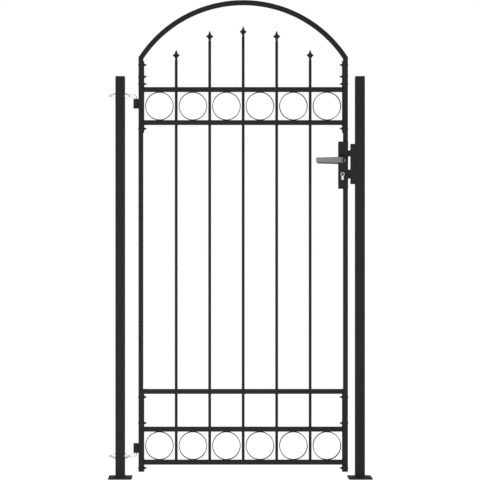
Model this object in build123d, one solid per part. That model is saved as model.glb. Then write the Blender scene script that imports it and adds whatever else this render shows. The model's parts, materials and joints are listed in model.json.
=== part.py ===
"""Garden gate: two square posts and a swinging leaf with an arched top, pickets, ring panels and a lock.

Millimetres. The origin is at ground level, midway between the posts and midway through the leaf's thickness.
X runs from the hinge post to the latch post, Y runs from the viewer to the far side, and Z is up.
"""

import os
from math import radians, sin, sqrt

from build123d import *

# Gaps that many pieces share
slide_gap = 0.3
running_gap = 0.08
thread_gap = 0.05
plug_gap = 0.1
over = 1.0  # how far a cutting shape runs past what it cuts

# Posts and base plates
post_size = 40.0
post_wall = 1.5
post_corner = 3.0
post_x = 511.6
post_top = 1711.0
plate_size = 100.0
plate_thick = 5.0
plate_corner = 6.0
plate_hole_spacing = 70.0
plate_hole_radius = 5.5
cap_height = 4.0
cap_skirt = 16.0
cap_wall = 1.8
cap_corner = 2.3
cap_edge = 1.5

# Leaf frame: square tube throughout
tube_size = 20.0
tube_wall = 1.5
tube_corner = 2.5
leaf_left = -433.5
leaf_width = 893.6
leaf_bottom = 28.0
foot_plug_flange = 2.0
foot_plug_depth = 14.0
foot_plug_corner = 1.9
splice_z = 1740.0
arch_radius = 532.0
arch_apex = 2040.0
arch_half_sweep = 65.0  # runs past the mitres, which trim it

# Ring panels
ring_diameter = 121.0
ring_strip = 3.0
ring_depth = 12.0
upper_ring_z = 1588.5
lower_ring_z = 138.5
middle_rail_z = 370.0
ring_count = 6
end_bar_thick = 4.0
upper_bar_bottom = 1475.0
upper_bar_top = 1780.0

# Pickets and their spear tips
picket_radius = 6.0
picket_wall = 1.2
picket_gap = 0.1
picket_pitch = 143.0
tip_tops = (1828.5, 1909.0, 1929.0, 1909.0, 1828.5)
tip_height = 45.0

# Bolts through the stiles and end bars, with a nut on the inside
frame_bolt_radius = 2.9
frame_bolt_hole = 3.0
frame_bolt_head = 5.0
frame_bolt_dome = 2.0
frame_bolt_beyond_bar = 11.0
frame_bolt_taper = 1.2
frame_bolt_zs = (1764.0, 1714.0, 1683.0, 1492.0, 346.0, 235.0, 43.0)
frame_nut_flats = 10.0
frame_nut_height = 5.2

# Corners of every nut, as shares of its own size
nut_face_share = 0.95
nut_slope_share = 0.1

# Hinges
hook_radius = 6.0
hook_bend = 14.0
hook_pin = 34.0
hook_chamfer = 1.0
hook_end_x = -560.5
hook_hole_radius = 6.3
barrel_radius = 11.0
barrel_bore = 6.08
barrel_length = 40.0
barrel_gap = 0.5
upper_barrel_top = 1618.5
lower_barrel_bottom = 108.5
nut_flats = 19.0
nut_height = 10.8
washer_radius = 12.0
washer_thick = 2.5

# Lock box and keep
box_size = 40.0
box_bottom = 1236.0
box_top = 1436.0
lid_thick = 2.0
lock_backset = 25.0
spindle_z = 1356.0
cylinder_z = 1296.0
keep_gap = 12.0
keep_bottom = 1256.0
keep_top = 1426.0
keep_sheet = 2.0
keep_half_width = 17.0
keep_fold = 2.5
keep_margin = 1.5

# Lock works
case_half_inside = 7.0
case_sheet = 1.5
case_bottom = 1252.0
case_top = 1420.0
case_back_gap = 1.0
face_plate_thick = 2.5
face_plate_half_width = 11.0
face_screw_inset = 9.0
face_screw_radius = 2.1
face_screw_head = 3.9
face_screw_length = 8.0
latch_low = 1373.5
latch_high = 1399.5
latch_tip = 20.0
latch_rear = 20.5
latch_half_thick = 6.0
latch_nose = 14.0
latch_edge = 2.0
spring_z = 1391.0
spring_bore = 3.5
spring_bore_depth = 24.0
spring_coil_radius = 2.6
spring_wire = 0.4
spring_turns = 8
dead_low = 1279.0
dead_high = 1317.0
dead_tip = 24.0
dead_rear = 16.0
dead_half_thick = 4.8
dead_edge = 1.0
dead_slot_half = 3.4
dead_travel = 16.0
cam_half_width = 1.9
cam_pocket_half = 2.2
cam_pocket_radius = 13.5
cam_reach = 12.5
cam_hub = 7.0
cam_finger_half = 3.5
follower_hub = 9.0
follower_flange = 10.5
follower_half_length = 9.5
follower_arm = 22.7
follower_arm_lean = 35.0
follower_arm_half = 1.8
follower_arm_tip = 3.0
follower_arm_play = 0.5
follower_arm_depth = 4.0

# Key cylinder, profile of the common round-and-tab kind
cylinder_round = 8.5
cylinder_tab_half = 5.0
cylinder_height = 33.0
cylinder_half_length = 30.0
cylinder_bridge_top = 1278.5
cylinder_slot_half = 5.1
plug_radius = 6.5
plug_proud = 0.4
plug_shaft = 3.0
keyway_width = 2.0
keyway_height = 9.0
keyway_depth = 22.0
keyway_drop = 1.0
cylinder_screw_z = 1274.2
cylinder_screw_radius = 2.0
cylinder_screw_head = 3.6

# Levers
spindle_size = 8.0
spindle_half_length = 44.0
spindle_socket = 8.1
spindle_hole_radius = 6.5
collar_radius = 13.0
collar_thick = 5.0
collar_edge = 1.0
neck_radius = 7.0
neck_start = 20.6
grip_front = 60.0
grip_thick = 12.0
grip_length = 114.3
rear_grip_length = 101.8
grip_tip_half = 9.5
grip_hub_half = 12.5
grip_bend = 13.0
grip_inner_bend = 4.0
grip_neck = 36.0
grip_corner = 2.5
grip_edge = 1.5
socket_gap = 0.2

# Values worked out from those above
leaf_right = leaf_left + leaf_width
leaf_mid = (leaf_left + leaf_right) / 2
leaf_half = leaf_width / 2
stile_left_x = leaf_left + tube_size / 2
stile_right_x = leaf_right - tube_size / 2
bar_left_x = leaf_left + tube_size
bar_right_x = leaf_right - tube_size
rail_left = bar_left_x + end_bar_thick
rail_right = bar_right_x - end_bar_thick
rail_offset = (ring_diameter + tube_size) / 2
upper_top_rail_z = upper_ring_z + rail_offset
upper_bottom_rail_z = upper_ring_z - rail_offset
lower_top_rail_z = lower_ring_z + rail_offset
bottom_rail_z = lower_ring_z - rail_offset
lower_bar_top = middle_rail_z + tube_size / 2
picket_xs = [leaf_mid + picket_pitch * (i - 2) for i in range(5)]
picket_foot = bottom_rail_z - tube_size / 2 + tube_wall
ring_xs = [leaf_mid + picket_pitch * (i - (ring_count - 1) / 2) for i in range(ring_count)]
arch_centre_z = arch_apex - arch_radius
arch_inner = arch_radius - tube_size
mitre_outer_z = arch_centre_z + sqrt(arch_radius**2 - leaf_half**2)
mitre_inner_z = arch_centre_z + sqrt(arch_inner**2 - (leaf_half - tube_size) ** 2)
hinge_x = leaf_left - barrel_radius
upper_hook_z = upper_barrel_top + barrel_gap + hook_bend
lower_hook_z = lower_barrel_bottom - barrel_gap - hook_bend
box_x = leaf_right - box_size / 2
lock_x = leaf_right - lock_backset
box_face_inside = leaf_right - post_wall
face_plate_back = box_face_inside - face_plate_thick
case_back = leaf_right - box_size + post_wall + case_back_gap
keep_x = leaf_right + keep_gap
post_inner_x = post_x - post_size / 2
post_outer_x = post_x + post_size / 2
follower_arm_x = lock_x + follower_arm * sin(radians(follower_arm_lean))


# Helpers

def tube_section(size, wall, corner):
    inside = size - 2 * wall
    return RectangleRounded(size, size, corner) - RectangleRounded(inside, inside, corner - wall)


def upright_tube(size, wall, corner, x, bottom, top):
    return Pos(x, 0, bottom) * extrude(tube_section(size, wall, corner), top - bottom)


def level_tube(z):
    section = Plane.YZ * tube_section(tube_size, tube_wall, tube_corner)
    return extrude(Pos(rail_left, 0, z) * section, rail_right - rail_left)


def box_between(low, high):
    size = [b - a for a, b in zip(low, high)]
    return Pos(*low) * Box(*size, align=Align.MIN)


def rod_x(radius, start, end, z, y=0.0):
    return Pos(start, y, z) * Rot(0, 90, 0) * extrude(Circle(radius), end - start)


def rod_y(radius, start, end, x, z):
    return Pos(x, start, z) * Rot(-90, 0, 0) * extrude(Circle(radius), end - start)


def rod_z(radius, bottom, top, x, y=0.0):
    return Pos(x, y, bottom) * extrude(Circle(radius), top - bottom)


def front_view(sketch, near, far):
    """A sketch seen from the front, in X and Z, made solid from y = near to y = far."""
    return extrude(Pos(0, far, 0) * (Plane.XZ * sketch), far - near, dir=(0, -1, 0))


def plan_view(sketch, bottom, top):
    """A sketch seen from above, in X and Y, made solid from z = bottom to z = top."""
    return extrude(Pos(0, 0, bottom) * sketch, top - bottom, dir=(0, 0, 1))


def mirrored_y(shape):
    return mirror(shape, about=Plane.XZ)


def hex_nut(flats, height, bore):
    """A nut along X from x = 0, its corners cut back at both ends."""
    corner = flats / sqrt(3)
    face = nut_face_share * flats / 2
    slope = nut_slope_share * height
    blank = make_face(Polyline((0, 0), (0, face), (slope, corner), (height - slope, corner), (height, face),
                               (height, 0), close=True))
    flat = RegularPolygon(flats / 2, 6, major_radius=False) - Circle(bore)
    return extrude(Plane.YZ * flat, height) & revolve(blank, Axis.X)


# Posts

def post(x):
    return upright_tube(post_size, post_wall, post_corner, x, plate_thick, post_top)


def hinge_post():
    tube = post(-post_x)
    for z in (upper_hook_z, lower_hook_z):
        tube -= rod_x(hook_hole_radius, -post_outer_x - over, -post_inner_x + over, z)
    return tube


def base_plate(x):
    holes = GridLocations(plate_hole_spacing, plate_hole_spacing, 2, 2) * Circle(plate_hole_radius)
    return Pos(x, 0, 0) * extrude(RectangleRounded(plate_size, plate_size, plate_corner) - holes, plate_thick)


def post_cap(x):
    lid = Pos(x, 0, post_top) * extrude(RectangleRounded(post_size, post_size, post_corner), cap_height)
    lid = chamfer(lid.edges().group_by(Axis.Z)[-1], cap_edge)
    skirt_size = post_size - 2 * (post_wall + plug_gap)
    skirt = tube_section(skirt_size, cap_wall, cap_corner)
    return lid + Pos(x, 0, post_top - cap_skirt) * extrude(skirt, cap_skirt)


def strike_keep():
    outline = Pos((keep_x + post_inner_x) / 2, 0) * Rectangle(post_inner_x - keep_x, 2 * keep_half_width)
    outline = fillet(outline.vertices().group_by(Axis.X)[0], keep_fold)
    hollow_left = keep_x + keep_sheet
    hollow = Pos((hollow_left + post_inner_x) / 2, 0)
    hollow *= Rectangle(post_inner_x - hollow_left, 2 * (keep_half_width - keep_sheet))
    channel = plan_view(outline - hollow, keep_bottom, keep_top)
    return channel - bolt_ways(keep_x - over, hollow_left + over, keep_margin)


# Hinges

def hinge_hook(level_z, pin_direction):
    """A rod through the post that turns up (+1) or down (-1) into a pin."""
    rod_end = (hook_end_x, 0, level_z)
    bend_start = (hinge_x - hook_bend, 0, level_z)
    bend_end = (hinge_x, 0, level_z + pin_direction * hook_bend)
    pin_end = (hinge_x, 0, level_z + pin_direction * (hook_bend + hook_pin))
    bend = TangentArc(bend_start, bend_end, tangent=(1, 0, 0))
    path = Line(rod_end, bend_start) + bend + Line(bend_end, pin_end)
    hook = sweep(Pos(rod_end) * (Plane.YZ * Circle(hook_radius)), path)
    circles = hook.edges().filter_by(GeomType.CIRCLE)
    ends = [circles.sort_by_distance(point)[0] for point in (rod_end, pin_end)]
    return chamfer(ends, hook_chamfer)


def hook_nuts():
    nut = hex_nut(nut_flats, nut_height, hook_radius + thread_gap)
    nuts = []
    for z in (upper_hook_z, lower_hook_z):
        nuts.append(Pos(-post_outer_x - washer_thick - nut_height, 0, z) * nut)
        nuts.append(Pos(-post_inner_x + washer_thick, 0, z) * nut)
    return nuts


def hook_washers():
    washer = extrude(Plane.YZ * (Circle(washer_radius) - Circle(hook_hole_radius)), washer_thick)
    washers = []
    for z in (upper_hook_z, lower_hook_z):
        washers.append(Pos(-post_outer_x - washer_thick, 0, z) * washer)
        washers.append(Pos(-post_inner_x, 0, z) * washer)
    return washers


def hinge_barrel(bottom):
    return Pos(hinge_x, 0, bottom) * extrude(Circle(barrel_radius) - Circle(barrel_bore), barrel_length)


# Leaf frame

def mitre_plane(side):
    """The cut between the arch and a leg: side is -1 at the hinge stile and +1 at the latch stile."""
    rise = mitre_outer_z - mitre_inner_z
    return Plane((leaf_mid + side * leaf_half, 0, mitre_outer_z), (0, 1, 0), (-side * rise, 0, tube_size))


def arch_tube():
    axis = Axis((leaf_mid, 0, arch_centre_z), (0, 1, 0))
    section = tube_section(tube_size, tube_wall, tube_corner)
    top = Pos(leaf_mid, 0, arch_apex - tube_size / 2) * (Plane.YZ * section)
    arch = revolve(top.rotate(axis, -arch_half_sweep), axis, 2 * arch_half_sweep)
    for side in (-1, 1):
        arch = split(arch, mitre_plane(side), keep=Keep.TOP)
    return arch


def drilled(shape, heights):
    """Bolt holes across the leaf through whatever the shape has at those heights."""
    for z in heights:
        shape -= rod_x(frame_bolt_hole, leaf_left - over, rail_left + over, z)
        shape -= rod_x(frame_bolt_hole, rail_right - over, leaf_right + over, z)
    return shape


def arch_leg(x, side):
    leg = upright_tube(tube_size, tube_wall, tube_corner, x, splice_z, mitre_outer_z + tube_size)
    return drilled(split(leg, mitre_plane(side), keep=Keep.BOTTOM), frame_bolt_zs[:1])


def stile(x, bottom, top):
    heights = [z for z in frame_bolt_zs if bottom < z < top]
    return drilled(upright_tube(tube_size, tube_wall, tube_corner, x, bottom, top), heights)


def foot_plugs():
    flange = extrude(RectangleRounded(tube_size, tube_size, tube_corner), foot_plug_flange)
    inside = tube_size - 2 * (tube_wall + plug_gap)
    body = extrude(tube_section(inside, tube_wall, foot_plug_corner), foot_plug_depth)
    plug = flange + Pos(0, 0, foot_plug_flange) * body
    plug -= rod_x(frame_bolt_hole + slide_gap, -tube_size, tube_size, frame_bolt_zs[-1] - leaf_bottom)
    return [Pos(x, 0, leaf_bottom) * plug for x in (stile_left_x, stile_right_x)]


def end_bar(left, bottom, top):
    heights = [z for z in frame_bolt_zs if bottom < z < top]
    bar = box_between((left, -tube_size / 2, bottom), (left + end_bar_thick, tube_size / 2, top))
    return drilled(bar, heights)


def rail(z, through=True):
    tube = level_tube(z)
    hole_bottom = z - tube_size if through else z
    for x in picket_xs:
        tube -= rod_z(picket_radius + picket_gap, hole_bottom, z + tube_size, x)
    return tube


def ring_row(z):
    outside = ring_diameter / 2
    ring = front_view(Circle(outside) - Circle(outside - ring_strip), -ring_depth / 2, ring_depth / 2)
    return [Pos(x, 0, z) * ring for x in ring_xs]


def picket(x, tip_top):
    wall = Circle(picket_radius) - Circle(picket_radius - picket_wall)
    return Pos(x, 0, picket_foot) * extrude(wall, tip_top - tip_height - picket_foot)


def spear_tip(x, tip_top):
    """A cast spear: slim neck, two side barbs and a long point, with a ridge down its middle."""
    sections = (
        (0.0, 5.6, 5.6),
        (4.0, 4.9, 4.9),
        (10.5, 5.4, 4.6),
        (15.5, 8.6, 4.2),
        (20.8, 14.7, 3.6),
        (24.2, 14.4, 3.8),
        (29.0, 6.6, 4.6),
        (tip_height, 1.0, 1.0),
    )
    slices = []
    for height, half_width, half_thick in sections:
        corners = [(half_width, 0), (0, half_thick), (-half_width, 0), (0, -half_thick)]
        slices.append(Pos(x, 0, tip_top - tip_height + height) * make_face(Polyline(*corners, close=True)))
    return loft(slices, ruled=True)


def on_both_stiles(piece, x):
    """A piece that lies along X from x = 0, set at x on the hinge side and mirrored on the latch side."""
    other = mirror(piece, about=Plane.YZ)
    pieces = []
    for z in frame_bolt_zs:
        pieces.append(Pos(x, 0, z) * piece)
        pieces.append(Pos(2 * leaf_mid - x, 0, z) * other)
    return pieces


def frame_bolts():
    end = tube_size + end_bar_thick + frame_bolt_beyond_bar
    crown = (-frame_bolt_dome, 0)
    rim = (0, frame_bolt_head)
    outline = TangentArc(crown, rim, tangent=(0, 1))
    outline += Polyline(rim, (0, frame_bolt_radius), (end - frame_bolt_taper, frame_bolt_radius),
                        (end, frame_bolt_radius - frame_bolt_taper), (end, 0), crown)
    return on_both_stiles(revolve(make_face(outline), Axis.X), leaf_left)


def frame_nuts():
    nut = hex_nut(frame_nut_flats, frame_nut_height, frame_bolt_radius + thread_gap)
    return on_both_stiles(nut, rail_left)


# Lock

def cylinder_profile(grow=0.0):
    tab_centre = cylinder_round - cylinder_height + cylinder_tab_half
    tab = Pos(0, tab_centre / 2) * Rectangle(2 * (cylinder_tab_half + grow), -tab_centre)
    tab += Pos(0, tab_centre) * Circle(cylinder_tab_half + grow)
    return Pos(lock_x, cylinder_z) * (Circle(cylinder_round + grow) + tab)


def bolt_ways(start, end, gap=slide_gap):
    """The openings that the latch bolt and the dead bolt slide through, from x = start to x = end."""
    ways = []
    sizes = ((latch_low, latch_high, latch_half_thick), (dead_low, dead_high, dead_half_thick))
    for low, high, half in sizes:
        ways.append(box_between((start, -half - gap, low - gap), (end, half + gap, high + gap)))
    return ways


def face_screw_heights():
    return case_bottom + face_screw_inset, case_top - face_screw_inset


def lock_box():
    box = upright_tube(box_size, post_wall, post_corner, box_x, box_bottom, box_top)
    box -= rod_y(spindle_hole_radius, -box_size, box_size, lock_x, spindle_z)
    box -= front_view(cylinder_profile(slide_gap), -box_size, box_size)
    box -= bolt_ways(face_plate_back, leaf_right + over)
    for z in face_screw_heights():
        box -= rod_x(face_screw_head + plug_gap, box_face_inside - over, leaf_right + over, z)
    head_hole = cylinder_screw_head + plug_gap
    return box - rod_x(head_hole, box_face_inside - over, leaf_right + over, cylinder_screw_z)


def lock_box_lids():
    side = box_size - 2 * post_wall
    lid = extrude(RectangleRounded(side, side, post_corner - post_wall), lid_thick)
    return [Pos(box_x, 0, z) * lid for z in (box_bottom, box_top - lid_thick)]


def face_plate():
    plate = box_between((face_plate_back, -face_plate_half_width, case_bottom),
                        (box_face_inside, face_plate_half_width, case_top))
    plate -= bolt_ways(face_plate_back - over, leaf_right)
    for z in face_screw_heights():
        plate -= rod_x(face_screw_radius + thread_gap, face_plate_back - over, leaf_right, z)
    screw_hole = cylinder_screw_radius + slide_gap
    return plate - rod_x(screw_hole, face_plate_back - over, leaf_right, cylinder_screw_z)


def lock_case():
    """A sheet case, open to the face plate, with a slot in its back that the cam's tip sweeps through."""
    outside = case_half_inside + case_sheet
    case = box_between((case_back, -outside, case_bottom), (face_plate_back, outside, case_top))
    case -= box_between((case_back + case_sheet, -case_half_inside, case_bottom + case_sheet),
                        (face_plate_back + over, case_half_inside, case_top - case_sheet))
    case -= rod_y(follower_hub + running_gap, -box_size, box_size, lock_x, spindle_z)
    case -= front_view(cylinder_profile(slide_gap), -box_size, box_size)
    slot_half = cam_half_width + slide_gap
    return case - box_between((case_back - over, -slot_half, cylinder_z - cam_reach),
                              (case_back + case_sheet + over, slot_half, cylinder_z + cam_reach))


def lock_screws():
    screws = []
    for z in face_screw_heights():
        shank = rod_x(face_screw_radius, leaf_right - face_screw_length, box_face_inside, z)
        screws.append(shank + rod_x(face_screw_head, box_face_inside, leaf_right, z))
    shank = rod_x(cylinder_screw_radius, lock_x, box_face_inside, cylinder_screw_z)
    screws.append(shank + rod_x(cylinder_screw_head, box_face_inside, leaf_right, cylinder_screw_z))
    return screws


def key_cylinder():
    body = front_view(cylinder_profile(), -cylinder_half_length, cylinder_half_length)
    body -= box_between((lock_x - box_size, -cylinder_slot_half, cylinder_bridge_top),
                        (lock_x + box_size, cylinder_slot_half, cylinder_z + box_size))
    body -= rod_y(plug_radius + running_gap, -box_size, box_size, lock_x, cylinder_z)
    return body - rod_x(cylinder_screw_radius + thread_gap, lock_x, leaf_right, cylinder_screw_z)


def cylinder_plug():
    end = cylinder_half_length + plug_proud
    plug = rod_y(plug_shaft, -end, end, lock_x, cylinder_z)
    for near, far in ((-end, -cylinder_slot_half), (cylinder_slot_half, end)):
        plug += rod_y(plug_radius, near, far, lock_x, cylinder_z)
    keyway = Pos(lock_x, cylinder_z - keyway_drop) * Rectangle(keyway_width, keyway_height)
    for near, far in ((-end, -end + keyway_depth), (end - keyway_depth, end)):
        plug -= front_view(keyway, near, far)
    return plug


def cylinder_cam():
    finger = Pos(0, -cam_reach / 2) * Rectangle(2 * cam_finger_half, cam_reach)
    reach = Circle(cam_hub) + (finger & Circle(cam_reach)) - Circle(plug_shaft + thread_gap)
    return front_view(Pos(lock_x, cylinder_z) * reach, -cam_half_width, cam_half_width)


def latch_bolt():
    """The spring bolt, with its slope on the far side, which meets the keep first as the leaf closes."""
    rear = leaf_right - latch_rear
    tip = leaf_right + latch_tip
    nose = tip - latch_nose
    plan = Polyline(
        (rear, -latch_half_thick),
        (tip, -latch_half_thick),
        (tip, -latch_half_thick + latch_edge),
        (nose, latch_half_thick),
        (rear, latch_half_thick),
        close=True,
    )
    bolt = plan_view(make_face(plan), latch_low, latch_high)
    half = follower_arm_tip + follower_arm_play
    pocket_top = spindle_z + follower_arm + half + slide_gap
    bolt -= box_between((follower_arm_x - half, -box_size, latch_low - over),
                        (follower_arm_x + half, box_size, pocket_top))
    return bolt - rod_x(spring_bore, rear - over, rear + spring_bore_depth, spring_z)


def latch_spring():
    start = case_back + case_sheet
    length = leaf_right - latch_rear + spring_bore_depth - start
    inset = 2 * spring_wire
    coil = Helix((length - 2 * inset) / spring_turns, length - 2 * inset, spring_coil_radius)
    wire = Plane(coil @ 0, z_dir=coil % 0) * Circle(spring_wire)
    return Pos(start + inset, 0, spring_z) * Rot(0, 90, 0) * sweep(wire, coil, is_frenet=True)


def dead_bolt():
    rear = leaf_right - dead_rear
    front = leaf_right + dead_tip
    bolt = box_between((rear, -dead_half_thick, dead_low), (front, dead_half_thick, dead_high))
    bolt = fillet(bolt.edges().filter_by(Axis.Z).group_by(Axis.X)[-1], dead_edge)
    drawn_axis = lock_x + dead_travel
    bolt -= box_between((rear - over, -cam_pocket_half, cylinder_z - cam_pocket_radius),
                        (drawn_axis + cam_pocket_radius, cam_pocket_half, cylinder_z + cam_pocket_radius))
    return bolt - box_between((rear - over, -box_size, cylinder_z - dead_slot_half),
                              (drawn_axis + dead_slot_half, box_size, cylinder_z + dead_slot_half))


# Handle

def collars():
    ring = Pos(lock_x, spindle_z) * (Circle(collar_radius) - Circle(neck_radius + plug_gap))
    face = box_size / 2
    collar = front_view(ring, -face - collar_thick, -face)
    rim = collar.edges().group_by(Axis.Y)[0].sort_by(SortBy.LENGTH)[-1]
    collar = chamfer(rim, collar_edge)
    return [collar, mirrored_y(collar)]


def lever(length):
    """The front lever: a bent bar, tapered towards the tip, that ends in a round neck on the spindle."""
    bend_x = neck_radius - grip_bend
    bend_y = -grip_front + grip_bend
    back_y = -grip_front + grip_thick
    inner_x = -neck_radius - grip_inner_bend
    inner_y = back_y + grip_inner_bend
    plan = Line((neck_radius, -grip_neck), (neck_radius, bend_y))
    plan += TangentArc((neck_radius, bend_y), (bend_x, -grip_front), tangent=(0, -1))
    plan += Polyline((bend_x, -grip_front), (-length, -grip_front), (-length, back_y), (inner_x, back_y))
    plan += TangentArc((inner_x, back_y), (-neck_radius, inner_y), tangent=(1, 0))
    plan += Polyline((-neck_radius, inner_y), (-neck_radius, -grip_neck), (neck_radius, -grip_neck))
    taper = make_face(Polyline((neck_radius, grip_hub_half), (-length, grip_tip_half),
                               (-length, -grip_tip_half), (neck_radius, -grip_hub_half), close=True))
    taper = fillet(taper.vertices().group_by(Axis.X)[0], grip_corner)
    bar = plan_view(make_face(plan), -grip_hub_half, grip_hub_half)
    bar &= front_view(taper, -grip_front - over, -grip_neck + over)
    bar = fillet(bar.edges().group_by(Axis.Y)[0], grip_edge)
    shape = bar + rod_y(neck_radius, -grip_neck, -neck_start, 0, 0)
    half = spindle_socket / 2
    socket = box_between((-half, -spindle_half_length - socket_gap, -half), (half, 0, half))
    return Pos(lock_x, 0, spindle_z) * (shape - socket)


def spindle():
    square = Pos(lock_x, spindle_z) * Rectangle(spindle_size, spindle_size)
    return front_view(square, -spindle_half_length, spindle_half_length)


def follower():
    hub = rod_y(follower_hub, -follower_half_length, follower_half_length, 0, 0)
    flange = case_half_inside - slide_gap
    hub += rod_y(follower_flange, -flange, flange, 0, 0)
    arm = Pos(0, follower_arm / 2) * Rectangle(2 * follower_arm_half, follower_arm)
    arm += Pos(0, follower_arm) * Circle(follower_arm_tip)
    hub += front_view(Rot(0, 0, -follower_arm_lean) * arm, -follower_arm_depth, follower_arm_depth)
    hub -= front_view(Rectangle(spindle_size, spindle_size), -box_size, box_size)
    return Pos(lock_x, 0, spindle_z) * hub


# Nodes: one name for each piece, or for each group of like pieces

nodes = {
    "hinge_post": hinge_post(),
    "hinge_post_base_plate": base_plate(-post_x),
    "hinge_post_cap": post_cap(-post_x),
    "latch_post": post(post_x),
    "latch_post_base_plate": base_plate(post_x),
    "latch_post_cap": post_cap(post_x),
    "strike_keep": strike_keep(),
    "upper_hinge_hook": hinge_hook(upper_hook_z, -1),
    "lower_hinge_hook": hinge_hook(lower_hook_z, 1),
    "hook_nuts": hook_nuts(),
    "hook_washers": hook_washers(),
    "upper_hinge_barrel": hinge_barrel(upper_barrel_top - barrel_length),
    "lower_hinge_barrel": hinge_barrel(lower_barrel_bottom),
    "arch_tube": arch_tube(),
    "arch_leg_hinge_side": arch_leg(stile_left_x, -1),
    "arch_leg_latch_side": arch_leg(stile_right_x, 1),
    "hinge_stile": stile(stile_left_x, leaf_bottom + foot_plug_flange, splice_z),
    "latch_stile_lower": stile(stile_right_x, leaf_bottom + foot_plug_flange, box_bottom),
    "latch_stile_upper": stile(stile_right_x, box_top, splice_z),
    "stile_foot_plugs": foot_plugs(),
    "upper_end_bar_hinge_side": end_bar(bar_left_x, upper_bar_bottom, upper_bar_top),
    "upper_end_bar_latch_side": end_bar(bar_right_x - end_bar_thick, upper_bar_bottom, upper_bar_top),
    "lower_end_bar_hinge_side": end_bar(bar_left_x, leaf_bottom, lower_bar_top),
    "lower_end_bar_latch_side": end_bar(bar_right_x - end_bar_thick, leaf_bottom, lower_bar_top),
    "upper_top_rail": rail(upper_top_rail_z),
    "upper_bottom_rail": rail(upper_bottom_rail_z),
    "middle_rail": rail(middle_rail_z),
    "lower_top_rail": rail(lower_top_rail_z),
    "bottom_rail": rail(bottom_rail_z, through=False),
    "upper_rings": ring_row(upper_ring_z),
    "lower_rings": ring_row(lower_ring_z),
    "frame_bolts": frame_bolts(),
    "frame_nuts": frame_nuts(),
    "lock_box": lock_box(),
    "lock_box_lids": lock_box_lids(),
    "lock_face_plate": face_plate(),
    "lock_case": lock_case(),
    "lock_screws": lock_screws(),
    "key_cylinder": key_cylinder(),
    "cylinder_plug": cylinder_plug(),
    "cylinder_cam": cylinder_cam(),
    "latch_bolt": latch_bolt(),
    "latch_spring": latch_spring(),
    "dead_bolt": dead_bolt(),
    "lever_collars": collars(),
    "front_lever": lever(grip_length),
    "rear_lever": mirrored_y(lever(rear_grip_length)),
    "lever_spindle": spindle(),
    "lever_follower": follower(),
}
for number, (x, tip_top) in enumerate(zip(picket_xs, tip_tops), start=1):
    nodes[f"picket_{number}"] = picket(x, tip_top)
    nodes[f"spear_tip_{number}"] = spear_tip(x, tip_top)

os.makedirs("parts", exist_ok=True)
for name, shape in nodes.items():
    if isinstance(shape, list):
        shape = Compound(children=[solid for piece in shape for solid in piece.solids()])
    export_step(shape, f"parts/{name}.step")
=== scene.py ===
import json
from math import pi, radians, tau

import bmesh
import bpy
from bmesh.types import BMEdge, BMFace, BMVert
from mathutils import Matrix, Vector


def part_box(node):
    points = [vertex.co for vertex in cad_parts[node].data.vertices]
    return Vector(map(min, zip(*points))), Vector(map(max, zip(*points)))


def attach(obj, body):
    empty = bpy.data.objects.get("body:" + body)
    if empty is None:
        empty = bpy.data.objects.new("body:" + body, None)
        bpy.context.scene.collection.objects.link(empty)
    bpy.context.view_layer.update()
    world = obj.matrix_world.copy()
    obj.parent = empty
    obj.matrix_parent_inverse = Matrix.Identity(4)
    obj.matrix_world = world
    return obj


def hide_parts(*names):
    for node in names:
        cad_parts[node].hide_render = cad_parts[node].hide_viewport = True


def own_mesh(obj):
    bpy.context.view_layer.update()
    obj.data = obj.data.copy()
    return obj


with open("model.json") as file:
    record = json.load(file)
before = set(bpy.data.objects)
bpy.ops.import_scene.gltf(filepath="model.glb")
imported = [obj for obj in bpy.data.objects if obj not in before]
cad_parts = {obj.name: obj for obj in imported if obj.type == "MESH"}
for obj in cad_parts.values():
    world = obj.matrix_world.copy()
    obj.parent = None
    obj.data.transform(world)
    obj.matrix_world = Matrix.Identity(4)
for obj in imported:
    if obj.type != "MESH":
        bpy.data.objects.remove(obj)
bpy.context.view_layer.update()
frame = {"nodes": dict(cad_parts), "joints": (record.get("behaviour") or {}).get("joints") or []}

# All lengths are in metres, apart from the lens, which is in millimetres

# Camera: level, a little below the middle of the gate and left of it
camera_place = (-0.154, -6.5, 0.974)
camera_lens = 114.15
camera_shift = (0.075, 0.0208)

# Studio: a white floor, which glows a little where it is seen, and a white sky, which also fills in light
floor_half = 400.0
floor_white = 0.9
floor_lift = 0.56
sky_fill = 0.5

# Lamp: one soft square in front of the gate, a little left of its middle
lamp_place = (-0.4, -2.2, 0.88)
lamp_target = (0.0, 0.0, 1.0)
lamp_size = 1.5
lamp_power = 38.0

# Meshes: the gap under which two points are one, and the angle past which an edge stays sharp
merge_gap = 1e-6
smooth_limit = radians(38)

# What repeats on the leaf
rails = ("upper_top_rail", "upper_bottom_rail", "middle_rail", "lower_top_rail", "bottom_rail")
rings_in_row = 6
picket_numbers = range(1, 6)

# Form of a weld: the length of a ripple, and how far the bead draws in between ripples and at its ends
weld_ripple = 0.0022
weld_fewest_ripples = 2
weld_neck_share = 0.86
weld_end_share = 0.62
weld_sides = 8

# Radius of each weld, and where some of them lie
rail_weld = 0.0017
rail_side_weld = 0.7 * rail_weld
ring_weld = 0.0012
ring_weld_offset = 0.0055
picket_weld = 0.0013
picket_weld_sides = 6
picket_weld_steps = 16
barrel_weld = 0.0020
barrel_weld_offset = 2.2 * barrel_weld
barrel_weld_stand_off = 0.4 * barrel_weld
box_weld = 0.0018
mitre_weld = 0.0011
mitre_inner_z = 1.7906
foot_weld = 0.0035
keep_weld = 0.0016

# Screw threads: where the crest starts and ends in a pitch, the steps of a turn, and the turns cut off
thread_crest_start = 0.4
thread_crest_end = 0.6
thread_steps = 20
thread_spare_turns = 2

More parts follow.
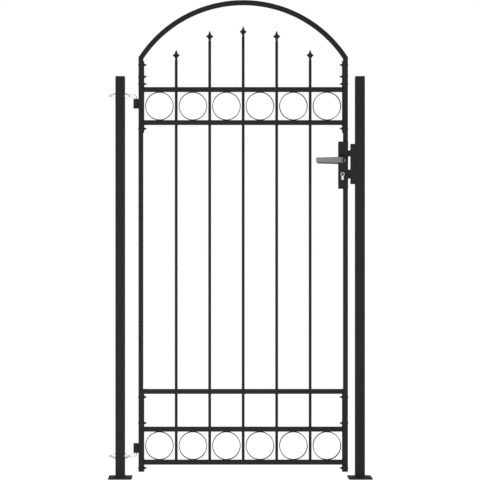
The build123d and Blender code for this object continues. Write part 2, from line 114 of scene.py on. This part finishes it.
# Hinge hooks: a thread as far as hook_thread_end_x, a bend, and a pin with a chamfered end
hook_radius = 0.0060
hook_sides = 32
hook_thread_depth = 0.0009
hook_thread_pitch = 0.00175
hook_thread_end_x = -0.466
hook_bend = 0.014
hook_bend_steps = 12
hook_chamfer = 0.0010

# Coach bolts: their heights on the stiles, then one bolt, measured from under its head
bolt_heights = (1.764, 1.714, 1.683, 1.492, 0.346, 0.235, 0.043)
bolt_radius = 0.0029
bolt_sides = 20
bolt_thread_depth = 0.00055
bolt_thread_pitch = 0.0010
bolt_thread_start = 0.0225
bolt_thread_end = 0.0338
bolt_end = 0.0350
bolt_tip_share = 0.62

# Domed head of a coach bolt: distance out from the stile, and radius there
bolt_head = ((0.0000, 0.0050), (0.0006, 0.0048), (0.0012, 0.0040), (0.0017, 0.0027), (0.0020, 0.0010))
bolt_head_sides = 24

# Spear tips: height, half width and half thickness of each slice, from the neck to the point
tip_slices = (
    (0.0000, 0.0056, 0.0056),
    (0.0040, 0.0049, 0.0049),
    (0.0075, 0.0050, 0.0047),
    (0.0105, 0.0054, 0.0046),
    (0.0155, 0.0086, 0.0043),
    (0.0190, 0.0124, 0.0038),
    (0.0208, 0.0147, 0.0036),
    (0.0242, 0.0144, 0.0036),
    (0.0262, 0.0108, 0.0041),
    (0.0290, 0.0066, 0.0046),
    (0.0365, 0.0042, 0.0034),
    (0.0450, 0.0010, 0.0010),
)
tip_sides = 16

# Key cylinder: how far past its plug's edge the plug's painted shade and rings reach, and the fine rings
# turned on it
plug_margin = 0.00002
plug_ring_pitch = 0.0004

# Painted light on the levers: how far out the collars are, which get a painted highlight, and the grips'
# inner faces, which get painted shade, and where the painted shade of the bend starts
collar_face = 0.0255
lever_inside = 0.0480
lever_inside_reach = 0.0004
lever_bend_x = 0.4298
lever_bend_fade = 0.0025

# Socket screws
screw_sides = 24
socket_sides = 6

# Set screw under each lever's neck
neck_radius = 0.0070
set_screw_radius = 0.0025
set_screw_socket = 0.0014
set_screw_depth = 0.0016
set_screw_proud = 0.0001
set_screw_length = 0.0020
set_screw_y = 0.0290

# Screws in the lock's face plate: the height of each, the radius of its head and shank, and its length
lock_screw_sizes = (
    (1.2610, 0.0039, 0.0021, 0.0080),
    (1.4110, 0.0039, 0.0021, 0.0080),
    (1.2742, 0.0036, 0.0020, 0.0250),
)
lock_screw_head = 0.0015
lock_screw_socket = 0.0016
lock_screw_depth = 0.0014

# Latch spring
spring_wire = 0.0004
spring_wire_sides = 8
spring_turns = 8
spring_turn_steps = 20


# Node trees

class Socket:
    """One output of a node. Arithmetic on it adds Math nodes to the same tree."""

    def __init__(self, nodes, output):
        self.nodes = nodes
        self.output = output

    def maths(self, operation, first, second):
        return self.nodes.add("ShaderNodeMath", {"operation": operation}, {0: first, 1: second})

    def __add__(self, other):
        return self.maths("ADD", self, other)

    def __radd__(self, other):
        return self.maths("ADD", other, self)

    def __sub__(self, other):
        return self.maths("SUBTRACT", self, other)

    def __rsub__(self, other):
        return self.maths("SUBTRACT", other, self)

    def __mul__(self, other):
        return self.maths("MULTIPLY", self, other)

    def __rmul__(self, other):
        return self.maths("MULTIPLY", other, self)


class NodeTree:
    """The nodes of a finish or of the studio's sky."""

    def __init__(self, owner):
        owner.use_nodes = True
        self.tree = owner.node_tree

    def add(self, kind, settings=None, sockets=None, output=0):
        """Adds a node: its settings first, then the value or link of each socket."""
        node = self.tree.nodes.new(kind)
        for name, value in (settings or {}).items():
            setattr(node, name, value)
        self.feed(node, sockets or {})
        return Socket(self, node.outputs[output])

    def feed(self, node, sockets):
        """Gives each socket its link or its value."""
        for name, value in sockets.items():
            if isinstance(value, Socket):
                self.tree.links.new(value.output, node.inputs[name])
            else:
                node.inputs[name].default_value = value

    def blend(self, share, low, high):
        """A colour from low to high, each of them a plain colour or a socket."""
        # A Mix node has sockets for each kind of value: these are its factor, its colours and their blend
        first, second = (end if isinstance(end, Socket) else (*end, 1) for end in (low, high))
        return self.add("ShaderNodeMix", {"data_type": "RGBA"}, {0: share, 6: first, 7: second}, output=2)

    def seen(self):
        """1 for what the camera sees, itself or in a reflection or through glass, and 0 for light."""
        camera, glossy, transmission = (
            self.add("ShaderNodeLightPath", output=f"Is {ray} Ray")
            for ray in ("Camera", "Glossy", "Transmission")
        )
        return self.add("ShaderNodeClamp", sockets={"Value": camera + glossy + transmission})


class Finish(NodeTree):
    """A material with one surface shader and patterns laid out on Object coordinates."""

    def __init__(self, name):
        self.material = bpy.data.materials.new(name)
        super().__init__(self.material)
        self.shader = self.tree.nodes["Principled BSDF"]
        self.place = self.add("ShaderNodeTexCoord", output="Object")

    def noise(self, scale, detail=2.0, stretch=None):
        """Soft random values about 0.5, in scale patches to the metre, times stretch along each axis."""
        place = self.place
        if stretch:
            place = self.add("ShaderNodeMapping", sockets={"Vector": place, "Scale": stretch})
        return self.add("ShaderNodeTexNoise", sockets={"Vector": place, "Scale": scale, "Detail": detail})

    def relief(self, height, depth):
        """Bumps on the surface, depth metres high where height is 1."""
        return self.add("ShaderNodeBump", sockets={"Height": height, "Distance": depth})

    def surface(self, **sockets):
        """Feeds the shader, with its sockets' names written with underscores."""
        self.feed(self.shader, {name.replace("_", " "): value for name, value in sockets.items()})
        return self.material


# Finishes

def grey(level):
    return level, level, level


def powder_coat():
    """Matt black coat: orange peel, a fine grit in its colour and faint clouding."""
    coat = Finish("powder_coat")
    cloud = coat.noise(5.0, detail=3.0)
    peel = coat.noise(650.0, detail=1.0)
    grit = coat.noise(1500.0)
    deep_black = (0.0096, 0.0108, 0.0103)
    soft_black = (0.0252, 0.0286, 0.0272)
    return coat.surface(
        Base_Color=coat.blend(1.6 * grit + 0.6 * cloud - 0.6, deep_black, soft_black),
        Roughness=0.66 + 0.08 * cloud + 0.10 * grit,
        Specular_IOR_Level=0.08,
        Normal=coat.relief(peel + 0.5 * grit, depth=0.00012),
    )


def zinc_plate():
    """Bright zinc: a light metal with a faint cloud of passivation."""
    zinc = Finish("zinc_plate")
    cloud = zinc.noise(160.0, detail=3.0)
    grain = zinc.noise(1800.0)
    blue_zinc = (0.64, 0.66, 0.68)
    pale_zinc = (0.72, 0.72, 0.71)
    return zinc.surface(
        Base_Color=zinc.blend(cloud, blue_zinc, pale_zinc),
        Metallic=1.0,
        Roughness=0.36 + 0.16 * cloud + 0.06 * grain,
        Normal=zinc.relief(grain, depth=0.00002),
    )


def black_plastic():
    """Moulded plastic with a fine spark-eroded grain."""
    plastic = Finish("black_plastic")
    grain = plastic.noise(1500.0, detail=3.0)
    cloud = plastic.noise(30.0)
    deep_black = (0.0085, 0.0085, 0.0090)
    soft_black = (0.0130, 0.0130, 0.0135)
    return plastic.surface(
        Base_Color=plastic.blend(cloud, deep_black, soft_black),
        Roughness=0.45 + 0.15 * grain,
        Specular_IOR_Level=0.8,
        Specular_Tint=(*grey(0.3), 1),
        Normal=plastic.relief(grain, depth=0.00008),
    )


def screw_steel():
    """Black plated steel, a little worn to grey in patches."""
    steel = Finish("screw_steel")
    wear = steel.noise(420.0, detail=3.0)
    grain = steel.noise(2400.0)
    black_plate = grey(0.028)
    worn_plate = (0.052, 0.052, 0.055)
    return steel.surface(
        Base_Color=steel.blend(wear, black_plate, worn_plate),
        Metallic=1.0,
        Roughness=0.36 + 0.16 * wear,
        Normal=steel.relief(grain, depth=0.00003),
    )


def satin_lever():
    """Grey satin metal: brushed on the grips, with painted shade inside them and in the bend, where it is
    also rougher, and a painted highlight on the collars.
    """
    satin = Finish("satin_lever")
    brush = satin.noise(1.0, stretch=(45.0, 3200.0, 3200.0))
    cloud = satin.noise(60.0)
    x, y = (satin.add("ShaderNodeSeparateXYZ", sockets={0: satin.place}, output=axis) for axis in "XY")
    # Painted shade inside the grips: faces at the grips' inner depth are marked for a darker grey
    depth = satin.add("ShaderNodeMath", {"operation": "ABSOLUTE"}, {0: y})
    inner_shade_test = {0: depth, 1: lever_inside, 2: lever_inside_reach}
    inner_painted_shade = satin.add("ShaderNodeMath", {"operation": "COMPARE"}, inner_shade_test)
    past_collar = satin.add("ShaderNodeMath", {"operation": "GREATER_THAN"}, {0: depth, 1: collar_face})
    # Painted shade in the bend, fading in from where the bend starts, on the grips' side of the collars
    bend_painted_shade = satin.add("ShaderNodeClamp", sockets={"Value": (x - lever_bend_x) * (1 / lever_bend_fade)})
    painted_shade_and_dull = satin.add("ShaderNodeMath", {"operation": "MAXIMUM"}, {0: inner_painted_shade, 1: bend_painted_shade * past_collar})
    # The collars' lighter grey is a painted highlight, and the dark grey is painted shade
    brushed_grey = satin.blend(cloud, grey(0.120), (0.136, 0.136, 0.134))
    collar_painted_highlight = grey(0.24)
    painted_shade_grey = grey(0.055)
    return satin.surface(
        Base_Color=satin.blend(painted_shade_and_dull, satin.blend(past_collar, collar_painted_highlight, brushed_grey), painted_shade_grey),
        Metallic=1.0,
        Roughness=0.26 + 0.14 * brush + 0.2 * painted_shade_and_dull,
        Normal=satin.relief(brush, depth=0.00002),
    )


def nickel():
    """Satin nickel on the key cylinder, whose plug is darkened with painted shade and turned in fine rings.
    """
    plate = Finish("nickel")
    cloud = plate.noise(260.0, detail=3.0)
    grain = plate.noise(2200.0)
    low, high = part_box("cylinder_plug")
    middle = (low + high) / 2
    axis = (middle.x, 0, middle.z)
    plug_radius = (high.x - low.x) / 2 + plug_margin
    flat = plate.add("ShaderNodeVectorMath", {"operation": "MULTIPLY"}, {0: plate.place, 1: (1, 0, 1)})
    reach = plate.add("ShaderNodeVectorMath", {"operation": "DISTANCE"}, {0: flat, 1: axis}, "Value")
    plug = plate.add("ShaderNodeMath", {"operation": "LESS_THAN"}, {0: reach, 1: plug_radius})
    rings = plate.add("ShaderNodeMath", {"operation": "SINE"}, {0: reach * (tau / plug_ring_pitch)})
    body_nickel = plate.blend(cloud, (0.45, 0.46, 0.45), (0.53, 0.54, 0.53))
    # Painted shade: the plug's nickel is darkened far below the body's
    plug_painted_shade = (0.075, 0.075, 0.072)
    return plate.surface(
        Base_Color=plate.blend(plug, body_nickel, plug_painted_shade),
        Metallic=1.0,
        Roughness=0.20 + 0.12 * grain,
        Normal=plate.relief(grain + 0.5 * plug * rings, depth=0.00002),
    )


def lock_steel():
    """Dark plated steel of the bolts and the lock's works, with a ground face."""
    steel = Finish("lock_steel")
    ground = steel.noise(1.0, stretch=(2600.0, 2600.0, 70.0))
    cloud = steel.noise(90.0, detail=3.0)
    dark_plate = grey(0.014)
    light_plate = (0.022, 0.022, 0.023)
    return steel.surface(
        Base_Color=steel.blend(cloud, dark_plate, light_plate),
        Metallic=0.4,
        Roughness=0.40 + 0.18 * ground,
        Specular_IOR_Level=0.15,
        Normal=steel.relief(ground, depth=0.00003),
    )


slot_finishes = (powder_coat, zinc_plate, black_plastic, screw_steel, satin_lever, nickel, lock_steel)
finishes = {make.__name__: make() for make in slot_finishes}


def dress_cad_nodes():
    """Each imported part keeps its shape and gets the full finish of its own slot."""
    for node in frame["nodes"].values():
        for material_slot in node.material_slots:
            material_slot.material = finishes[material_slot.material.name.split(".")[0]]


# Mesh helpers

def only(kind, geometry):
    """The vertices, edges or faces among mixed geometry."""
    return [item for item in geometry if isinstance(item, kind)]


def as_mesh(name, bm):
    """Turns a bmesh into a mesh and frees it."""
    mesh = bpy.data.meshes.new(name)
    bm.to_mesh(mesh)
    bm.free()
    return mesh


def as_shape(bm):
    """A closed mesh, merged and turned outwards, that can be copied into a piece."""
    bmesh.ops.remove_doubles(bm, verts=bm.verts, dist=merge_gap)
    bmesh.ops.recalc_face_normals(bm, faces=bm.faces)
    return as_mesh("shape", bm)


def add_copies(bm, shape, places):
    """Copies a shape to each of the places, and then drops it."""
    for place in places:
        before = len(bm.verts)
        bm.from_mesh(shape)
        bm.verts.ensure_lookup_table()
        bmesh.ops.transform(bm, matrix=place, verts=bm.verts[before:])
    bpy.data.meshes.remove(shape)


def add_piece(name, bm, body, slot, *replaced):
    """A finished piece that rides on a body and stands for the CAD nodes it replaces."""
    mesh = as_mesh(name, bm)
    mesh.shade_smooth()
    mesh.set_sharp_from_angle(angle=smooth_limit)
    mesh.materials.append(finishes[slot])
    piece = bpy.data.objects.new(name, mesh)
    bpy.context.scene.collection.objects.link(piece)
    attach(piece, body)
    if replaced:
        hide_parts(*replaced)
    return piece


def disc(bm, sides, radius):
    """A level round face at the origin, the foot of a shape that is stretched up from it."""
    bmesh.ops.create_circle(bm, cap_ends=True, segments=sides, radius=radius)
    bm.faces.ensure_lookup_table()
    return bm.faces[0]


def stretch_face(bm, face, rise, x_share, y_share):
    """Extrudes a level face upwards by rise and scales its new outline about its own middle."""
    made = bmesh.ops.extrude_face_region(bm, geom=[face, *face.edges])
    top = only(BMFace, made["geom"])[0]
    bmesh.ops.translate(bm, verts=top.verts, vec=(0, 0, rise))
    middle = top.calc_center_median()
    bmesh.ops.scale(bm, verts=top.verts, vec=(x_share, y_share, 1), space=Matrix.Translation(-middle))
    return top


def extrude_rim(bm, edges, vec):
    """Extrudes an open rim along vec and gives the new rim's edges."""
    made = bmesh.ops.extrude_edge_only(bm, edges=edges)["geom"]
    points = set(only(BMVert, made))
    bmesh.ops.translate(bm, verts=list(points), vec=vec)
    return [edge for edge in only(BMEdge, made) if points.issuperset(edge.verts)]


def taper_rim(bm, rim, share, middle):
    """Draws a level rim in towards its middle, to a share of its size."""
    points = {vert for edge in rim for vert in edge.verts}
    bmesh.ops.scale(bm, verts=list(points), vec=(share, share, 1), space=Matrix.Translation(-middle))


def along(start, end):
    """The turn and shift that lay a shape built up the Z axis from start towards end."""
    turn = (end - start).to_track_quat("Z", "Y").to_matrix().to_4x4()
    return Matrix.Translation(start) @ turn


# Welds

def bead_shape(length, radius):
    """A straight run of weld up the Z axis, rippled as the pool of metal set."""
    ripples = max(weld_fewest_ripples, round(length / weld_ripple))
    half_ripple = length / (2 * ripples)
    necks = [weld_end_share] + [weld_neck_share] * (ripples - 1) + [weld_end_share]
    bm = bmesh.new()
    top = disc(bm, weld_sides, weld_end_share * radius)
    for below, above in zip(necks, necks[1:]):
        top = stretch_face(bm, top, half_ripple, 1 / below, 1 / below)
        top = stretch_face(bm, top, half_ripple, above, above)
    return as_shape(bm)


def run_bead(bm, start, end, radius):
    """Lays a bead from start to end."""
    start = Vector(start)
    end = Vector(end)
    add_copies(bm, bead_shape((end - start).length, radius), [along(start, end)])


def ring_bead_shape(radius, thickness):
    """A weld round a picket, level, about the Z axis."""
    bm = bmesh.new()
    made = bmesh.ops.create_circle(bm, segments=picket_weld_sides, radius=thickness)
    stand_up = Matrix.Translation((radius, 0, 0)) @ Matrix.Rotation(pi / 2, 4, "X")
    bmesh.ops.transform(bm, matrix=stand_up, verts=made["verts"])
    bmesh.ops.spin(bm, geom=bm.edges[:], cent=(0, 0, 0), axis=(0, 0, 1), angle=tau, steps=picket_weld_steps,
                   use_merge=True)
    return as_shape(bm)


def square_beads(bm, low, high, x_sides, z, radius):
    """Beads round an upright square tube at height z, on its front, back and the x sides given."""
    for y in (low.y, high.y):
        run_bead(bm, (low.x, y, z), (high.x, y, z), radius)
    for x in x_sides:
        run_bead(bm, (x, low.y, z), (x, high.y, z), radius)


def rail_welds():
    """Runs round both ends of each rail, where it meets the stiles, finer on the front and back."""
    bm = bmesh.new()
    for name in rails:
        low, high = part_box(name)
        for x in (low.x, high.x):
            for z in (low.z, high.z):
                run_bead(bm, (x, low.y, z), (x, high.y, z), rail_weld)
            for y in (low.y, high.y):
                run_bead(bm, (x, y, low.z), (x, y, high.z), rail_side_weld)
    add_piece("rail_welds", bm, "leaf", "powder_coat")


def ring_welds():
    """Short runs in the wedge on each side of where a ring touches its rails."""
    bm = bmesh.new()
    for name in ("upper_rings", "lower_rings"):
        low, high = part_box(name)
        size = high.z - low.z
        pitch = (high.x - low.x - size) / (rings_in_row - 1)
        for i in range(rings_in_row):
            middle = low.x + size / 2 + i * pitch
            for z, inward in ((low.z, 1), (high.z, -1)):
                level = z + inward * ring_weld / 2
                for x in (middle - ring_weld_offset, middle + ring_weld_offset):
                    run_bead(bm, (x, low.y, level), (x, high.y, level), ring_weld)
    add_piece("ring_welds", bm, "leaf", "powder_coat")


def picket_welds():
    """A ring of weld where each picket goes through a rail, and into the top of the bottom one."""
    bm = bmesh.new()
    heights = []
    for name in rails:
        low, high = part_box(name)
        heights.append(high.z)
        if name != "bottom_rail":
            heights.append(low.z)
    for number in picket_numbers:
        low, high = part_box(f"picket_{number}")
        middle = (low + high) / 2
        places = [Matrix.Translation((middle.x, middle.y, z)) for z in heights]
        add_copies(bm, ring_bead_shape((high.x - low.x) / 2, picket_weld), places)
    add_piece("picket_welds", bm, "leaf", "powder_coat")


def barrel_welds():
    """Two upright runs where each hinge barrel lies against the stile."""
    bm = bmesh.new()
    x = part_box("hinge_stile")[0].x - barrel_weld_stand_off
    for name in ("upper_hinge_barrel", "lower_hinge_barrel"):
        low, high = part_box(name)
        for y in (-barrel_weld_offset, barrel_weld_offset):
            run_bead(bm, (x, y, low.z + barrel_weld), (x, y, high.z - barrel_weld), barrel_weld)
    add_piece("barrel_welds", bm, "leaf", "powder_coat")


def box_welds():
    """Runs round the stile where it stands on the lock box, and below it."""
    bm = bmesh.new()
    box_low, box_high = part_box("lock_box")
    for name, z in (("latch_stile_upper", box_high.z), ("latch_stile_lower", box_low.z)):
        low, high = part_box(name)
        square_beads(bm, low, high, (low.x,), z, box_weld)
    add_piece("box_welds", bm, "leaf", "powder_coat")


def mitre_welds():
    """Dressed seams across the mitres between the arch and its legs."""
    bm = bmesh.new()
    for name, outer_first in (("arch_leg_hinge_side", True), ("arch_leg_latch_side", False)):
        low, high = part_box(name)
        outer_x, inner_x = (low.x, high.x) if outer_first else (high.x, low.x)
        for y in (low.y, high.y):
            run_bead(bm, (outer_x, y, high.z), (inner_x, y, mitre_inner_z), mitre_weld)
        run_bead(bm, (outer_x, low.y, high.z), (outer_x, high.y, high.z), mitre_weld)
        run_bead(bm, (inner_x, low.y, mitre_inner_z), (inner_x, high.y, mitre_inner_z), mitre_weld)
    add_piece("mitre_welds", bm, "leaf", "powder_coat")


def post_welds():
    """Fillets round the feet of the posts, and down both edges of the keep."""
    bm = bmesh.new()
    for name in ("hinge_post", "latch_post"):
        low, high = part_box(name)
        square_beads(bm, low, high, (low.x, high.x), low.z, foot_weld)
    low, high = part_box("strike_keep")
    for y in (low.y, high.y):
        run_bead(bm, (high.x, y, low.z), (high.x, y, high.z), keep_weld)
    add_piece("post_welds", bm, "posts", "powder_coat")


# Hooks and bolts

def thread_shape(radius, depth, pitch, length):
    """A screw thread up the Z axis: one pitch of its outline, spun up a helix and cut level at its ends."""
    root = radius - depth
    crest_start = thread_crest_start * pitch
    crest_end = thread_crest_end * pitch
    outline = ((root, 0), (radius, crest_start), (radius, crest_end), (root, pitch))
    bm = bmesh.new()
    points = [bm.verts.new((x, 0, z - pitch)) for x, z in outline]
    edges = [bm.edges.new(pair) for pair in zip(points, points[1:])]
    turns = round(length / pitch) + thread_spare_turns
    bmesh.ops.spin(bm, geom=points + edges, cent=(0, 0, 0), axis=(0, 0, 1), angle=tau * turns,
                   dvec=(0, 0, pitch / thread_steps), steps=thread_steps * turns)
    bmesh.ops.remove_doubles(bm, verts=bm.verts, dist=merge_gap)
    for height, side in ((0.0, -1), (length, 1)):
        everything = bm.verts[:] + bm.edges[:] + bm.faces[:]
        cut = bmesh.ops.bisect_plane(bm, geom=everything, plane_co=(0, 0, height), plane_no=(0, 0, side),
                                     clear_outer=True)
        bmesh.ops.contextual_create(bm, geom=only(BMEdge, cut["geom_cut"]))
    return as_shape(bm)


def hook_shank(level, rise, pin_x, pin_end):
    """The smooth part of a hinge hook: on from its thread, round the bend and along the pin."""
    bend_x = pin_x - hook_bend
    bend_z = level + rise * hook_bend
    start = Vector((hook_thread_end_x, 0, level))
    bm = bmesh.new()
    made = bmesh.ops.create_circle(bm, segments=hook_sides, radius=hook_radius)
    bmesh.ops.transform(bm, matrix=along(start, start + Vector((1, 0, 0))), verts=made["verts"])
    bmesh.ops.contextual_create(bm, geom=bm.edges[:])
    rim = extrude_rim(bm, bm.edges[:], (bend_x - hook_thread_end_x, 0, 0))
    made = bmesh.ops.spin(bm, geom=rim, cent=(bend_x, 0, bend_z), axis=(0, -rise, 0), angle=pi / 2,
                          steps=hook_bend_steps)
    rim = only(BMEdge, made["geom_last"])
    rim = extrude_rim(bm, rim, (0, 0, pin_end - rise * hook_chamfer - bend_z))
    rim = extrude_rim(bm, rim, (0, 0, rise * hook_chamfer))
    taper_rim(bm, rim, 1 - hook_chamfer / hook_radius, Vector((pin_x, 0, pin_end)))
    bmesh.ops.contextual_create(bm, geom=rim)
    return as_shape(bm)


def hinge_hook(name, pin_up):
    """A threaded rod through the post that turns into a smooth hinge pin."""
    low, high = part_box(name)
    foot, pin_end = (low.z, high.z) if pin_up else (high.z, low.z)
    rise = 1 if pin_up else -1
    level = foot + rise * hook_radius
    start = Vector((low.x, 0, level))
    thread_end = Vector((hook_thread_end_x, 0, level))
    thread = thread_shape(hook_radius, hook_thread_depth, hook_thread_pitch, hook_thread_end_x - low.x)
    bm = bmesh.new()
    add_copies(bm, thread, [along(start, thread_end)])
    add_copies(bm, hook_shank(level, rise, high.x - hook_radius, pin_end), [Matrix.Identity(4)])
    add_piece(f"{name}_threaded", bm, "posts", "zinc_plate", name)


def rod_shape(radius, length, end_share):
    """A plain stretch of a bolt up the Z axis, drawn in at its end to a share of its radius."""
    bm = bmesh.new()
    stretch_face(bm, disc(bm, bolt_sides, radius), length, end_share, end_share)
    return as_shape(bm)


def bolt_head_shape():
    """The domed head of a coach bolt, up the Z axis."""
    bm = bmesh.new()
    top = disc(bm, bolt_head_sides, bolt_head[0][1])
    for (below, below_radius), (above, above_radius) in zip(bolt_head, bolt_head[1:]):
        share = above_radius / below_radius
        top = stretch_face(bm, top, above - below, share, share)
    return as_shape(bm)


def bolt_shape():
    """A coach bolt up the Z axis: its head below the origin, then its shank, thread and tip."""
    bm = bmesh.new()
    add_copies(bm, bolt_head_shape(), [Matrix.Rotation(pi, 4, "X")])
    shank = rod_shape(bolt_radius, bolt_thread_start, 1.0)
    tip = rod_shape(bolt_radius - bolt_thread_depth, bolt_end - bolt_thread_end, bolt_tip_share)
    thread_length = bolt_thread_end - bolt_thread_start
    thread = thread_shape(bolt_radius, bolt_thread_depth, bolt_thread_pitch, thread_length)
    for shape, start in ((shank, 0.0), (tip, bolt_thread_end), (thread, bolt_thread_start)):
        add_copies(bm, shape, [Matrix.Translation((0, 0, start))])
    return as_mesh("bolt", bm)


def frame_bolts():
    """Coach bolts: a smooth domed head outside the stile and a threaded end inside the leaf."""
    hinge_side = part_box("hinge_stile")[0].x
    latch_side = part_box("latch_stile_upper")[1].x
    places = []
    for z in bolt_heights:
        for x, inward in ((hinge_side, 1), (latch_side, -1)):
            start = Vector((x, 0, z))
            places.append(along(start, start + Vector((inward, 0, 0))))
    bm = bmesh.new()
    add_copies(bm, bolt_shape(), places)
    add_piece("frame_bolts_threaded", bm, "leaf", "screw_steel", "frame_bolts")


# Lock

def socket_screw(radius, socket, depth):
    """The top of a screw with a six-sided socket sunk in it, up the Z axis, and the open rim round it."""
    bm = bmesh.new()
    outside = bmesh.ops.create_circle(bm, segments=screw_sides, radius=radius)["verts"]
    bmesh.ops.create_circle(bm, segments=socket_sides, radius=socket)
    rim = [edge for edge in bm.edges if edge.verts[0] in outside]
    hexagon = [edge for edge in bm.edges if edge.verts[0] not in outside]
    bmesh.ops.bridge_loops(bm, edges=bm.edges[:])
    bmesh.ops.contextual_create(bm, geom=extrude_rim(bm, hexagon, (0, 0, -depth)))
    return bm, rim


def lever_set_screws():
    """A socket screw in the underside of each lever's neck."""
    bm, rim = socket_screw(set_screw_radius, set_screw_socket, set_screw_depth)
    bmesh.ops.contextual_create(bm, geom=extrude_rim(bm, rim, (0, 0, -set_screw_length)))
    low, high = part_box("lever_spindle")
    axis = (low + high) / 2
    places = []
    for y in (-set_screw_y, set_screw_y):
        start = Vector((axis.x, y, axis.z - neck_radius - set_screw_proud))
        places.append(along(start, start - Vector((0, 0, 1))))
    screws = bmesh.new()
    add_copies(screws, as_shape(bm), places)
    add_piece("lever_set_screws", screws, "handle", "screw_steel")


def lock_screws():
    """Countersunk socket screws: two that hold the face plate, and one that holds the key cylinder."""
    face_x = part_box("lock_screws")[1].x
    screws = bmesh.new()
    for z, head, shank, length in lock_screw_sizes:
        bm, rim = socket_screw(head, lock_screw_socket, lock_screw_depth)
        rim = extrude_rim(bm, rim, (0, 0, -lock_screw_head))
        taper_rim(bm, rim, shank / head, Vector((0, 0, 0)))
        bmesh.ops.contextual_create(bm, geom=extrude_rim(bm, rim, (0, 0, lock_screw_head - length)))
        start = Vector((face_x, 0, z))
        add_copies(screws, as_shape(bm), [along(start, start + Vector((1, 0, 0)))])
    add_piece("lock_screws_socketed", screws, "leaf", "screw_steel", "lock_screws")


def coil_shape(coil_radius, length):
    """A coil of round wire up the Z axis, with flat ends."""
    steps = spring_turns * spring_turn_steps
    climb = (length - 2 * spring_wire) / steps
    bm = bmesh.new()
    made = bmesh.ops.create_circle(bm, segments=spring_wire_sides, radius=spring_wire)
    stand_up = Matrix.Translation((coil_radius, 0, spring_wire)) @ Matrix.Rotation(pi / 2, 4, "X")
    bmesh.ops.transform(bm, matrix=stand_up, verts=made["verts"])
    start_rim = bm.edges[:]
    made = bmesh.ops.spin(bm, geom=start_rim, cent=(0, 0, 0), axis=(0, 0, 1), dvec=(0, 0, climb),
                          angle=tau * spring_turns, steps=steps)
    end_rim = only(BMEdge, made["geom_last"])
    bmesh.ops.contextual_create(bm, geom=start_rim)
    bmesh.ops.contextual_create(bm, geom=end_rim)
    return as_shape(bm)


def latch_spring():
    """A coil of wire in the latch's bore, which keeps its length as the latch is drawn in."""
    low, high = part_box("latch_spring")
    middle = (low + high) / 2
    length = high.x - low.x
    fixed_end = Vector((low.x, middle.y, middle.z))
    free_end = Vector((high.x, middle.y, middle.z))
    bm = bmesh.new()
    add_copies(bm, coil_shape((high.z - low.z) / 2 - spring_wire, length), [along(fixed_end, free_end)])
    spring = add_piece("latch_spring_wound", bm, "leaf", "lock_steel", "latch_spring")
    slide = next(joint for joint in frame["joints"] if joint["name"] == "latch_slide")
    travel = max(slide["range_m"]) - min(slide["range_m"])
    1 - travel / length
    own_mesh(spring)


# Spear tips

def spear_tip(number):
    """A cast spear: slim neck, side barbs and a long point, its slices stacked from a round foot."""
    name = f"spear_tip_{number}"
    low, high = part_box(name)
    middle = (low + high) / 2
    bm = bmesh.new()
    top = disc(bm, tip_sides, tip_slices[0][1])
    for (z, width, depth), (next_z, next_width, next_depth) in zip(tip_slices, tip_slices[1:]):
        top = stretch_face(bm, top, next_z - z, next_width / width, next_depth / depth)
    bmesh.ops.translate(bm, verts=bm.verts, vec=(middle.x, middle.y, low.z))
    bmesh.ops.recalc_face_normals(bm, faces=bm.faces)
    add_piece(f"{name}_cast", bm, "leaf", "powder_coat", name)


# Studio

def floor():
    """A white floor that keeps the gate's shadow."""
    bm = bmesh.new()
    bmesh.ops.create_grid(bm, x_segments=1, y_segments=1, size=floor_half)
    mesh = as_mesh("floor", bm)
    white = Finish("floor_white")
    mesh.materials.append(white.surface(
        Base_Color=(*grey(floor_white), 1),
        Roughness=1.0,
        Specular_IOR_Level=0.0,
        Emission_Color=white.blend(floor_lift * white.seen(), grey(0.0), grey(1.0)),
        Emission_Strength=1.0,
    ))
    plane = bpy.data.objects.new("floor", mesh)
    bpy.context.scene.collection.objects.link(plane)


def sky():
    """White wherever it is seen, and a plain even fill as light."""
    world = bpy.data.worlds.new("studio")
    bpy.context.scene.world = world
    nodes = NodeTree(world)
    colour = nodes.blend(nodes.seen(), grey(sky_fill), grey(1.0))
    nodes.feed(nodes.tree.nodes["Background"], {"Color": colour})


def soft_lamp():
    light = bpy.data.lights.new("soft_lamp", "AREA")
    light.size = lamp_size
    light.energy = lamp_power
    lamp = bpy.data.objects.new("soft_lamp", light)
    lamp.location = lamp_place
    lamp.rotation_euler = (Vector(lamp_target) - Vector(lamp_place)).to_track_quat("-Z", "Y").to_euler()
    bpy.context.scene.collection.objects.link(lamp)


def camera():
    data = bpy.data.cameras.new("camera")
    data.lens = camera_lens
    data.shift_x, data.shift_y = camera_shift
    holder = bpy.data.objects.new("camera", data)
    holder.location = camera_place
    holder.rotation_euler = (pi / 2, 0, 0)
    bpy.context.scene.collection.objects.link(holder)
    bpy.context.scene.camera = holder


dress_cad_nodes()
rail_welds()
ring_welds()
picket_welds()
barrel_welds()
box_welds()
mitre_welds()
post_welds()
hinge_hook("upper_hinge_hook", pin_up=False)
hinge_hook("lower_hinge_hook", pin_up=True)
frame_bolts()
lever_set_screws()
lock_screws()
latch_spring()
for number in picket_numbers:
    spear_tip(number)

camera()
floor()
sky()
soft_lamp()
bpy.context.scene.view_settings.view_transform = "Standard"
